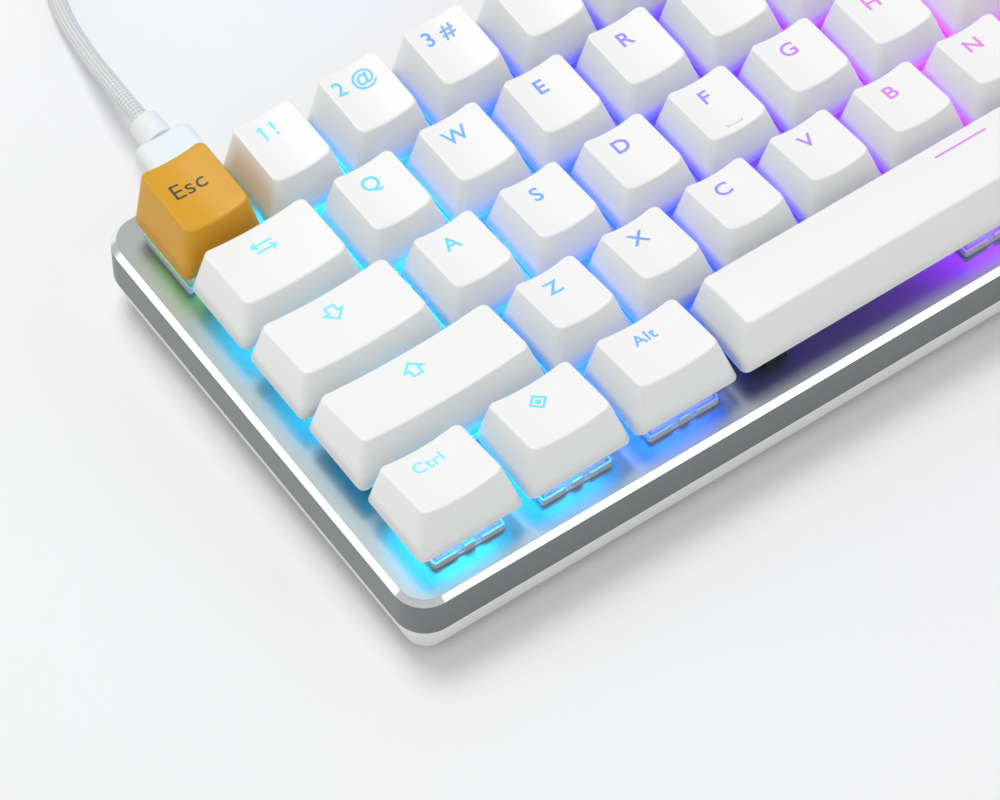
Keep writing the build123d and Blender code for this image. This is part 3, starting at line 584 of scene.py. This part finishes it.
def band(first: int, second: int, count: int) -> list:
    """Quads between two rings of the same count, each given by its first point's number."""
    return [[first + i, first + (i + 1) % count, second + (i + 1) % count, second + i] for i in range(count)]


@dataclass(frozen=True)
class CapShape:
    """A cap's surface, with its dished or crowned top."""

    units: float
    row: int
    esc: bool = False

    @property
    def inset(self) -> float:
        """How far the top's sides sit in from the skirt's."""
        return ESC_IN_X if self.esc else TOP_IN_X

    @property
    def depth(self) -> float:
        """The top's depth."""
        return ESC_TOP_Y if self.esc else TOP_Y

    @property
    def back(self) -> float:
        """How far the top's middle sits behind the skirt's."""
        return ROW_SHIFT[self.row] + (ESC_SHIFT if self.esc else 0)

    @property
    def skirt(self) -> float:
        """Half the skirt's width."""
        return (self.units * UNIT - CAP_GAP) / 2

    @property
    def top(self) -> float:
        """Half the top's width."""
        return self.skirt - self.inset

    def lift(self, u: np.ndarray, v: np.ndarray) -> np.ndarray:
        """Height of the top over its tilted plane.

        Args:
            u: Distance to the right of its middle.
            v: Distance to the back of its middle.
        Returns:
            The height in mm.
        """
        if self.units > 6:
            radius = CROWN_R
            return CROWN - radius + np.sqrt(radius ** 2 - np.asarray(v, float) ** 2)
        radius = (self.top ** 2 + DISH ** 2) / (2 * DISH)
        reach = np.clip(np.asarray(u, float), -self.top, self.top)
        return radius - DISH - np.sqrt(radius ** 2 - reach ** 2)

    def place(self, u: np.ndarray, v: np.ndarray, height: np.ndarray) -> np.ndarray:
        """Carries points of the tilted top into the key's own frame.

        Args:
            u: Distance to the right of the top's middle.
            v: Distance to the back of it, along the tilt.
            height: Distance over the tilted plane.
        Returns:
            Rows of x, y, z, with z over the table.
        """
        tilt = math.radians(ROW_TILT[self.row])
        y = self.back + v * math.cos(tilt) - height * math.sin(tilt)
        z = PLATE_TOP + ROW_TOP[self.row] + v * math.sin(tilt) + height * math.cos(tilt)
        return np.column_stack([u, y, z])

    def surface(self) -> tuple:
        """Builds the whole closed skin: inside, skirt edge, sides, rounded rim and top.

        Returns:
            Points and faces.
        """
        side = max(8, int(8 * self.units))
        skirt_y = (UNIT - CAP_GAP) / 2
        foot = rounded_outline(self.skirt, skirt_y, SKIRT_R, side=side)
        crest = rounded_outline(self.top, self.depth / 2, TOP_R, side=side)
        count = len(foot)
        base = PLATE_TOP + SKIRT_Z
        foot_3d = np.column_stack([foot, np.full(count, base)])
        crest_3d = self.place(crest[:, 0], crest[:, 1], self.lift(crest[:, 0], crest[:, 1]))
        share = (CEILING - SKIRT_Z) / (ROW_TOP[self.row] - SKIRT_Z)
        inner_foot = rounded_outline(self.skirt - WALL, skirt_y - WALL, SKIRT_R / 2, side=side)
        deep_y = skirt_y - share * (skirt_y - TOP_Y / 2) - WALL
        inner_top = rounded_outline(self.skirt - share * TOP_IN_X - WALL, deep_y, SKIRT_R / 2, side=side)
        inner_top[:, 1] += share * ROW_SHIFT[self.row]
        rings = [np.column_stack([inner_top * s, np.full(count, PLATE_TOP + CEILING)]) for s in (0.02, 1.0)]
        rings.append(np.column_stack([inner_foot, np.full(count, base)]))
        outward = crest_3d - foot_3d
        outward /= np.linalg.norm(outward, axis=1)[:, None]
        rings.append(foot_3d - 0.25 * (foot_3d - np.column_stack([inner_foot, np.full(count, base)])))
        rings.append(foot_3d + 0.25 * outward)
        for step in (0.3, 0.6):
            rings.append(foot_3d + step * (crest_3d - foot_3d))
        below = crest_3d - RIM * outward
        shrink = 1 - RIM / np.array([self.top, self.depth / 2])
        inner = crest * shrink
        over = self.place(inner[:, 0], inner[:, 1], self.lift(inner[:, 0], inner[:, 1]))
        for t in np.linspace(0, 1, 7):
            rings.append((1 - t) ** 2 * below + 2 * t * (1 - t) * crest_3d + t ** 2 * over)
        for s in (0.85, 0.7, 0.55, 0.4, 0.25, 0.12, 0.02):
            disc = inner * s
            rings.append(self.place(disc[:, 0], disc[:, 1], self.lift(disc[:, 0], disc[:, 1])))
        faces = []
        for i in range(len(rings) - 1):
            faces.extend(band(i * count, (i + 1) * count, count))
        faces.append(list(range(count))[::-1])
        faces.append([(len(rings) - 1) * count + i for i in range(count)])
        return np.vstack(rings), faces


def block(low: tuple, high: tuple, edge: float) -> tuple:
    """A box with its four upright and four upper edges cut back.

    Args:
        low: Its lowest corner.
        high: Its highest corner.
        edge: Width of the cut.
    Returns:
        Points and faces.
    """
    (x0, y0, z0), (x1, y1, z1) = low, high
    half = np.array([(x1 - x0) / 2, (y1 - y0) / 2])
    middle = np.array([(x0 + x1) / 2, (y0 + y1) / 2])
    rings = []
    for inset, z in ((0, z0), (0, z1 - edge), (edge, z1)):
        ring = rounded_outline(half[0] - inset, half[1] - inset, edge, bend=2, side=1) + middle
        rings.append(np.column_stack([ring, np.full(len(ring), z)]))
    count = len(rings[0])
    faces = band(0, count, count) + band(count, 2 * count, count)
    faces += [list(range(count))[::-1], [2 * count + i for i in range(count)]]
    return np.vstack(rings), faces


def slider(x: float, half: float, deep: float, shoulder: float, pocket: float) -> tuple:
    """A block with a round pocket in its underside, where the spring or the wire's end sits.

    Args:
        x: Its middle.
        half: Half its width.
        deep: Half its depth.
        shoulder: Height of its top over the plate.
        pocket: Radius of the pocket.
    Returns:
        Points and faces.
    """
    foot, top = PLATE_TOP + STEM_FOOT, PLATE_TOP + shoulder
    outer = rounded_outline(half, deep, STEM_EDGE, bend=2, side=4)
    angle = np.arctan2(outer[:, 1], outer[:, 0])
    inner = pocket * np.column_stack([np.cos(angle), np.sin(angle)])
    count = len(outer)
    rings = [(inner, PLATE_TOP + POCKET_TOP), (inner, foot), (outer, foot), (outer, top - STEM_EDGE),
             (outer * (1 - STEM_EDGE / deep), top)]
    points = np.vstack([np.column_stack([ring + [x, 0.0], np.full(count, z)]) for ring, z in rings])
    faces = [face for i in range(4) for face in band(i * count, (i + 1) * count, count)]
    faces += [list(range(count))[::-1], [4 * count + i for i in range(count)]]
    return points, faces


def stem_bodies(key: Key) -> list:
    """A key's stem, and its two sliders where it is wide.

    Args:
        key: The key.
    Returns:
        Pairs of points and faces over the key's own middle.
    """
    spots = [(0.0, 4.3, 2.8, 5.4, 2.4)]
    if key.units >= 2:
        span = 50.0 if key.units > 6 else 11.94
        spots += [(-span, 2.7, 2.7, 6.3, 1.2), (span, 2.7, 2.7, 6.3, 1.2)]
    bodies = []
    for x, half, deep, shoulder, pocket in spots:
        bodies.append(slider(x, half, deep, shoulder, pocket))
        for wide, long in ((2.0, 0.6), (0.6, 2.0)):
            bodies.append(block((x - wide, -long, PLATE_TOP + shoulder - 0.2),
                                (x + wide, long, PLATE_TOP + CROSS_TOP), 0.15))
    return bodies


# Legends ---------------------------------------------------------------------------------------------------

def stroke(points: tuple, width: float, closed: bool = False) -> tuple:
    """A line of constant width as flat quads with mitred corners.

    Args:
        points: Its corners.
        width: Its width.
        closed: Whether it runs back to its first corner.
    Returns:
        Points as rows of u, v, and faces.
    """
    path = np.array(points, float)
    count = len(path)
    left, right = [], []
    for i in range(count):
        before = path[i] - path[i - 1] if closed or i else path[1] - path[0]
        after = path[(i + 1) % count] - path[i] if closed or i < count - 1 else path[-1] - path[-2]
        n0 = np.array([-before[1], before[0]]) / np.linalg.norm(before)
        n1 = np.array([-after[1], after[0]]) / np.linalg.norm(after)
        mitre = (n0 + n1) / (1 + n0 @ n1)
        left.append(path[i] + mitre * width / 2)
        right.append(path[i] - mitre * width / 2)
    last = count if closed else count - 1
    faces = [[i, count + i, count + (i + 1) % count, (i + 1) % count] for i in range(last)]
    return np.array(left + right), faces


def arrow_outline(size: float) -> tuple:
    """Corners of an open arrow that points to the back."""
    s = size / 2
    return ((0, s), (s, 0.0), (0.48 * s, 0.0), (0.48 * s, -0.8 * s), (-0.48 * s, -0.8 * s), (-0.48 * s, 0.0),
            (-s, 0.0))


def mark_bodies(mark: Mark) -> list:
    """The strokes of a drawn symbol round its own middle.

    Args:
        mark: Which symbol.
    Returns:
        Pairs of flat points and faces.
    """
    line = 0.5
    if mark is Mark.TAB:
        return [stroke(((2.1, 0.7), (-2.1, 0.7)), line),
                stroke(((-1.2, 1.5), (-2.2, 0.7), (-1.2, -0.1)), line),
                stroke(((-2.1, -0.9), (2.1, -0.9)), line),
                stroke(((1.2, -0.1), (2.2, -0.9), (1.2, -1.7)), line)]
    if mark is Mark.CAPS:
        flipped = tuple((x, -y) for x, y in arrow_outline(3.9))
        return [stroke(flipped, line, True)]
    if mark is Mark.SHIFT:
        return [stroke(arrow_outline(3.9), line, True)]
    if mark is Mark.SUPER:
        return [stroke(((0, 1.7), (1.7, 0), (0, -1.7), (-1.7, 0)), line, True),
                (np.array([(0, 0.8), (0.8, 0), (0, -0.8), (-0.8, 0)]), [[3, 2, 1, 0]])]
    if mark is Mark.BACK:
        return [stroke(((2.4, 0), (-2.4, 0)), line), stroke(((-1.4, 1.0), (-2.5, 0), (-1.4, -1.0)), line)]
    if mark is Mark.ENTER:
        return [stroke(((2.2, 1.4), (2.2, -0.4), (-2.1, -0.4)), line),
                stroke(((-1.1, 0.6), (-2.2, -0.4), (-1.1, -1.4)), line)]
    if mark is Mark.MENU:
        return [stroke(((-1.6, y), (1.6, y)), line) for y in (-1.1, 0.0, 1.1)]
    return [stroke(((-5.8, 0), (5.8, 0)), line)]


def text_body(text: str, height: float, bold: float = 0.07) -> tuple:
    """A word in the built-in typeface as flat faces round its own middle.

    Args:
        text: The word.
        height: Height of a capital letter in mm.
        bold: How far its outlines are moved out in mm.
    Returns:
        Points as rows of u, v, and faces.
    """
    curve = bpy.data.curves.new("word", "FONT")
    curve.body = text
    curve.size = height / 0.7
    curve.align_x = "CENTER"
    curve.align_y = "CENTER"
    curve.resolution_u = 4
    curve.offset = bold
    curve.space_character = 1.05
    word = bpy.data.objects.new("word", curve)
    bpy.context.scene.collection.objects.link(word)
    mesh = bpy.data.meshes.new_from_object(word.evaluated_get(bpy.context.evaluated_depsgraph_get()))
    cut = bmesh.new()
    cut.from_mesh(mesh)
    bmesh.ops.remove_doubles(cut, verts=cut.verts, dist=1e-4)
    for u in np.arange(-8, 8.1, 0.6):
        geometry = cut.verts[:] + cut.edges[:] + cut.faces[:]
        bmesh.ops.bisect_plane(cut, geom=geometry, plane_co=(u, 0, 0), plane_no=(1, 0, 0))
    cut.verts.ensure_lookup_table()
    points = np.array([v.co[:2] for v in cut.verts])
    faces = [[v.index for v in f.verts] for f in cut.faces]
    cut.free()
    bpy.data.objects.remove(word)
    bpy.data.curves.remove(curve)
    bpy.data.meshes.remove(mesh)
    return points, faces


def finer(points: np.ndarray, faces: list, step: float) -> tuple:
    """Cuts long quads of a stroke into short ones, so that they follow a dished top."""
    out_points, out_faces = [], []
    for face in faces:
        a, b, c, d = (np.array(points[i]) for i in face)
        parts = max(1, int(np.ceil(max(np.linalg.norm(d - a), np.linalg.norm(c - b)) / step)))
        for i in range(parts):
            s, t = i / parts, (i + 1) / parts
            start = len(out_points)
            out_points += [a + (d - a) * s, b + (c - b) * s, b + (c - b) * t, a + (d - a) * t]
            out_faces.append([start, start + 1, start + 2, start + 3])
    return np.array(out_points), out_faces


def legend_bodies(key: Key) -> list:
    """A key's legend laid on its top.

    Args:
        key: The key.
    Returns:
        Pairs of points and faces, in the key's own frame.
    """
    shape = CapShape(key.units, key.row, key.node == "key_esc")
    at_u, at_v = -0.7, 2.7
    if isinstance(key.legend, Mark):
        flat = [finer(p, f, 0.5) for p, f in mark_bodies(key.legend)]
        if key.legend is Mark.BAR:
            at_u, at_v = 0.0, 3.9
    elif key.node == "key_esc":
        flat, at_u, at_v = [text_body(key.legend, 3.4, 0.0)], -0.7, 0.9
        flat[0][0][:, 0] *= 1.12
    elif len(key.legend) > 1 and " " not in key.legend:
        flat, at_v = [text_body(key.legend, 2.65, 0.05)], 3.1
    elif key.legend == "1 !":
        one, mark = stroke(((-1.9, 1.0), (-1.1, 1.5), (-1.1, -1.7)), 0.5), text_body("!", 3.3)
        flat, at_v = [one, (mark[0] + [1.3, 0], mark[1])], 3.3
    else:
        flat = [text_body(key.legend, 3.3)]
        at_v = 3.3 if " " in key.legend else at_v
    bodies = []
    for points, faces in flat:
        u, v = points[:, 0] + at_u, points[:, 1] + at_v
        bodies.append((shape.place(u, v, shape.lift(u, v) + 0.035), faces))
    return bodies


def homing_bar(key: Key) -> tuple:
    """The small raised bar that a fingertip finds on the F and J caps.

    Args:
        key: The key.
    Returns:
        Points and faces, in the key's own frame.
    """
    shape = CapShape(key.units, key.row)
    count = 9
    u = np.linspace(-HOMING_X, HOMING_X, count)
    rings = []
    for v, height in ((-6.0, -0.1), (-5.95, 0.3), (-5.45, 0.3), (-5.4, -0.1)):
        rings.append(shape.place(u, np.full(count, v), shape.lift(u, v) + height))
    faces = []
    for start in (0, count, 2 * count):
        after = start + count
        faces += [[start + i, start + i + 1, after + i + 1, after + i] for i in range(count - 1)]
    ends = list(range(0, 4 * count, count))
    faces += [ends[::-1], [start + count - 1 for start in ends]]
    return np.vstack(rings), faces


def shift(points: np.ndarray, key: Key) -> np.ndarray:
    """Moves a key's own points to where the key stands."""
    return points + np.array([key.x, key.y, 0.0])


class KeySet:
    """All the caps, stems and legends, one set of pieces for each CAD node."""

    def __init__(self, keys: list) -> None:
        """Groups the keys by node.

        Args:
            keys: Every key.
        """
        self.nodes = {}
        for key in keys:
            self.nodes.setdefault(key.node, []).append(key)

    def build(self) -> None:
        """Makes each node's pieces and puts them on its body."""
        shapes = {}
        for node, keys in self.nodes.items():
            caps, stems, legends = Pile([], []), Pile([], []), Pile([], [])
            for key in keys:
                kind = (key.units, key.row, key.node == "key_esc")
                if kind not in shapes:
                    shapes[kind] = CapShape(*kind).surface()
                caps.add(shift(shapes[kind][0], key), shapes[kind][1])
                if key.legend in ("F", "J"):
                    points, faces = homing_bar(key)
                    caps.add(shift(points, key), faces)
                for points, faces in stem_bodies(key):
                    stems.add(shift(points, key), faces)
                for points, faces in legend_bodies(key):
                    legends.add(shift(points, key), faces)
            body = f"{node}_body"
            orange = node == "key_esc"
            cap = mesh_object(f"{node}_caps", np.vstack(caps.points), caps.faces, "esc" if orange else "cap")
            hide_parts(node)
            stem = mesh_object(f"{node}_stems", np.vstack(stems.points), stems.faces, "stem", False)
            legend = mesh_object(f"{node}_legends", np.vstack(legends.points), legends.faces,
                                 "ink" if orange else "legend", False)
            for piece in (cap, stem, legend):
                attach(piece, body)


# Cable -----------------------------------------------------------------------------------------------------

class Cable:
    """The braided cable with its coil, running between the plugs at its two ends."""

    def __init__(self, diameter: float) -> None:
        """Keeps the cable's size.

        Args:
            diameter: In mm.
        """
        self.diameter = diameter

    def route(self) -> list:
        """Every control point from the plug's collar to the far plug.

        Returns:
            Points in mm.
        """
        points = list(ROUTE)
        for turn, (radius, height) in enumerate(COIL_TURNS):
            final = turn == len(COIL_TURNS) - 1
            next_radius, next_height = COIL_TURNS[min(turn + 1, len(COIL_TURNS) - 1)]
            for i in range(TURN_POINTS):
                share = min(1.0, max(0.0, (i / TURN_POINTS - 0.7) / 0.3))
                r = radius + (next_radius - radius) * share
                z = height + (next_height - height) * share
                angle = math.pi / 2 - math.tau * i / TURN_POINTS
                points.append((COIL_X + r * math.cos(angle), COIL_Y + r * math.sin(angle), z))
            if final:
                points.append((COIL_X, COIL_Y + radius, height))
        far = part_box("computer_plug_body")
        points.append((COIL_X + 7.0, COIL_Y + COIL_TURNS[-1][0] + 0.2, 4.9))
        points.append((1000 * far[0][0], 500 * (far[0][1] + far[1][1]), 500 * (far[0][2] + far[1][2])))
        return points

    def build(self) -> None:
        """Makes the cord and hides the CAD cable and coil that it stands in for."""
        curve = bpy.data.curves.new("braided_cable", "CURVE")
        curve.dimensions = "3D"
        curve.bevel_depth = self.diameter / 2 * MM
        curve.bevel_resolution = 5
        curve.resolution_u = 6
        points = self.route()
        spline = curve.splines.new("NURBS")
        spline.points.add(len(points) - 1)
        spline.points.foreach_set("co", [c for p in points for c in (p[0] * MM, p[1] * MM, p[2] * MM, 1.0)])
        spline.order_u = 3
        spline.use_endpoint_u = True
        curve.materials.append(finish("braid"))
        cable = bpy.data.objects.new("braided_cable", curve)
        bpy.context.scene.collection.objects.link(cable)
        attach(cable, "case")
        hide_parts("usb_cable", "usb_cable_coil")


NODE_FINISH = {
    "lower_case": "case", "top_plate": "plate", "circuit_board": "board", "board_chips": "dark",
    "switch_bottom_housings": "flange", "switch_top_housings": "clear", "switch_springs": "steel",
    "switch_contacts": "brass", "backlight_leds": "led", "stabiliser_housings": "dark",
    "case_screws": "steel",
    "rubber_feet": "rubber", "folding_foot_left": "case", "folding_foot_right": "case", "usb_socket": "steel",
    "usb_c_plug_shell": "steel", "usb_c_plug_body": "plug", "cable_tie": "tie", "computer_plug_body": "plug",
    "computer_plug_shell": "steel", "space_wire": "steel", "shift_left_wire": "steel",
    "shift_right_wire": "steel", "enter_wire": "steel", "backspace_wire": "steel",
}


def dress_frame() -> None:
    """Gives every CAD node that stays in view its material."""
    for node, finish_name in NODE_FINISH.items():
        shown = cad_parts[node]
        for slot in shown.material_slots:
            slot.material = finish(finish_name)


# Stage -----------------------------------------------------------------------------------------------------

class Studio:
    """Pale floor, soft lights and the camera."""

    camera_at = (-600.32, -767.34, 1321.52)
    heading = 33.455
    pitch = 55.555
    roll = 1.634
    lens = 310.99

    def floor(self) -> None:
        """A wide pale floor, curved up a little at its rim."""
        steps = np.linspace(-1, 1, 41)
        grid_x, grid_y = np.meshgrid(steps * 4000, steps * 4000)
        rise = np.clip(np.hypot(grid_x, grid_y) - 3000, 0, None) * 0.3
        points = np.column_stack([grid_x.ravel(), grid_y.ravel(), rise.ravel() - 0.02])
        faces = [[j * 41 + i, j * 41 + i + 1, (j + 1) * 41 + i + 1, (j + 1) * 41 + i]
                 for j in range(40) for i in range(40)]
        floor = mesh_object("floor", points, faces, "case")
        material, tree, out = new_material("pale paper")
        shader = add_node(tree, "ShaderNodeBsdfDiffuse", {"Color": (0.92, 0.92, 0.92, 1)})
        tree.links.new(shader.outputs[0], out.inputs[0])
        floor.data.materials[0] = material

    def lights(self) -> None:
        """A large soft light above and two small ones that the plate's polished edge mirrors."""
        for name, place, size, power, colour in (
            ("key light", (-120, 420, 1500), 700, 10.4, (1, 1, 1)),
            ("front edge light", (550, -1200, 700), 500, 1.1, (1, 1, 1)),
            ("left edge light", (-1200, 700, 550), 500, 0.8, (1, 1, 1)),
        ):
            lamp = bpy.data.lights.new(name, "AREA")
            lamp.shape = "DISK"
            lamp.size = size * MM
            lamp.energy = power
            lamp.color = colour
            holder = bpy.data.objects.new(name, lamp)
            holder.location = Vector(place) * MM
            holder.rotation_euler = (-holder.location).to_track_quat("-Z", "Y").to_euler()
            bpy.context.scene.collection.objects.link(holder)
        world = bpy.data.worlds.new("surround")
        world.use_nodes = True
        world.node_tree.nodes["Background"].inputs[0].default_value = (1, 1, 1, 1)
        world.node_tree.nodes["Background"].inputs[1].default_value = 0.57
        bpy.context.scene.world = world

    def camera(self) -> None:
        """A long lens from the front left, above."""
        heading, pitch, roll = (math.radians(a) for a in (self.heading, self.pitch, self.roll))
        forward = Vector((math.sin(heading) * math.cos(pitch), math.cos(heading) * math.cos(pitch),
                          -math.sin(pitch)))
        level = Vector((math.cos(heading), -math.sin(heading), 0))
        down = forward.cross(level)
        right = level * math.cos(roll) + down * math.sin(roll)
        up = -forward.cross(right)
        data = bpy.data.cameras.new("camera")
        data.sensor_width = 36.0
        data.lens = self.lens
        data.clip_end = 20.0
        camera = bpy.data.objects.new("camera", data)
        turn = Matrix((right, up, -forward)).transposed().to_4x4()
        camera.matrix_world = Matrix.Translation(Vector(self.camera_at) * MM) @ turn
        bpy.context.scene.collection.objects.link(camera)
        bpy.context.scene.camera = camera

    def build(self) -> None:
        """Sets the whole stage."""
        self.floor()
        self.lights()
        self.camera()
        bpy.context.scene.view_settings.view_transform = "Standard"


def main() -> None:
    """Builds the keyboard's looks."""
    dress_frame()
    KeySet(KEYS).build()
    Cable(CABLE_D).build()
    Studio().build()


if __name__ == "__main__":
    main()
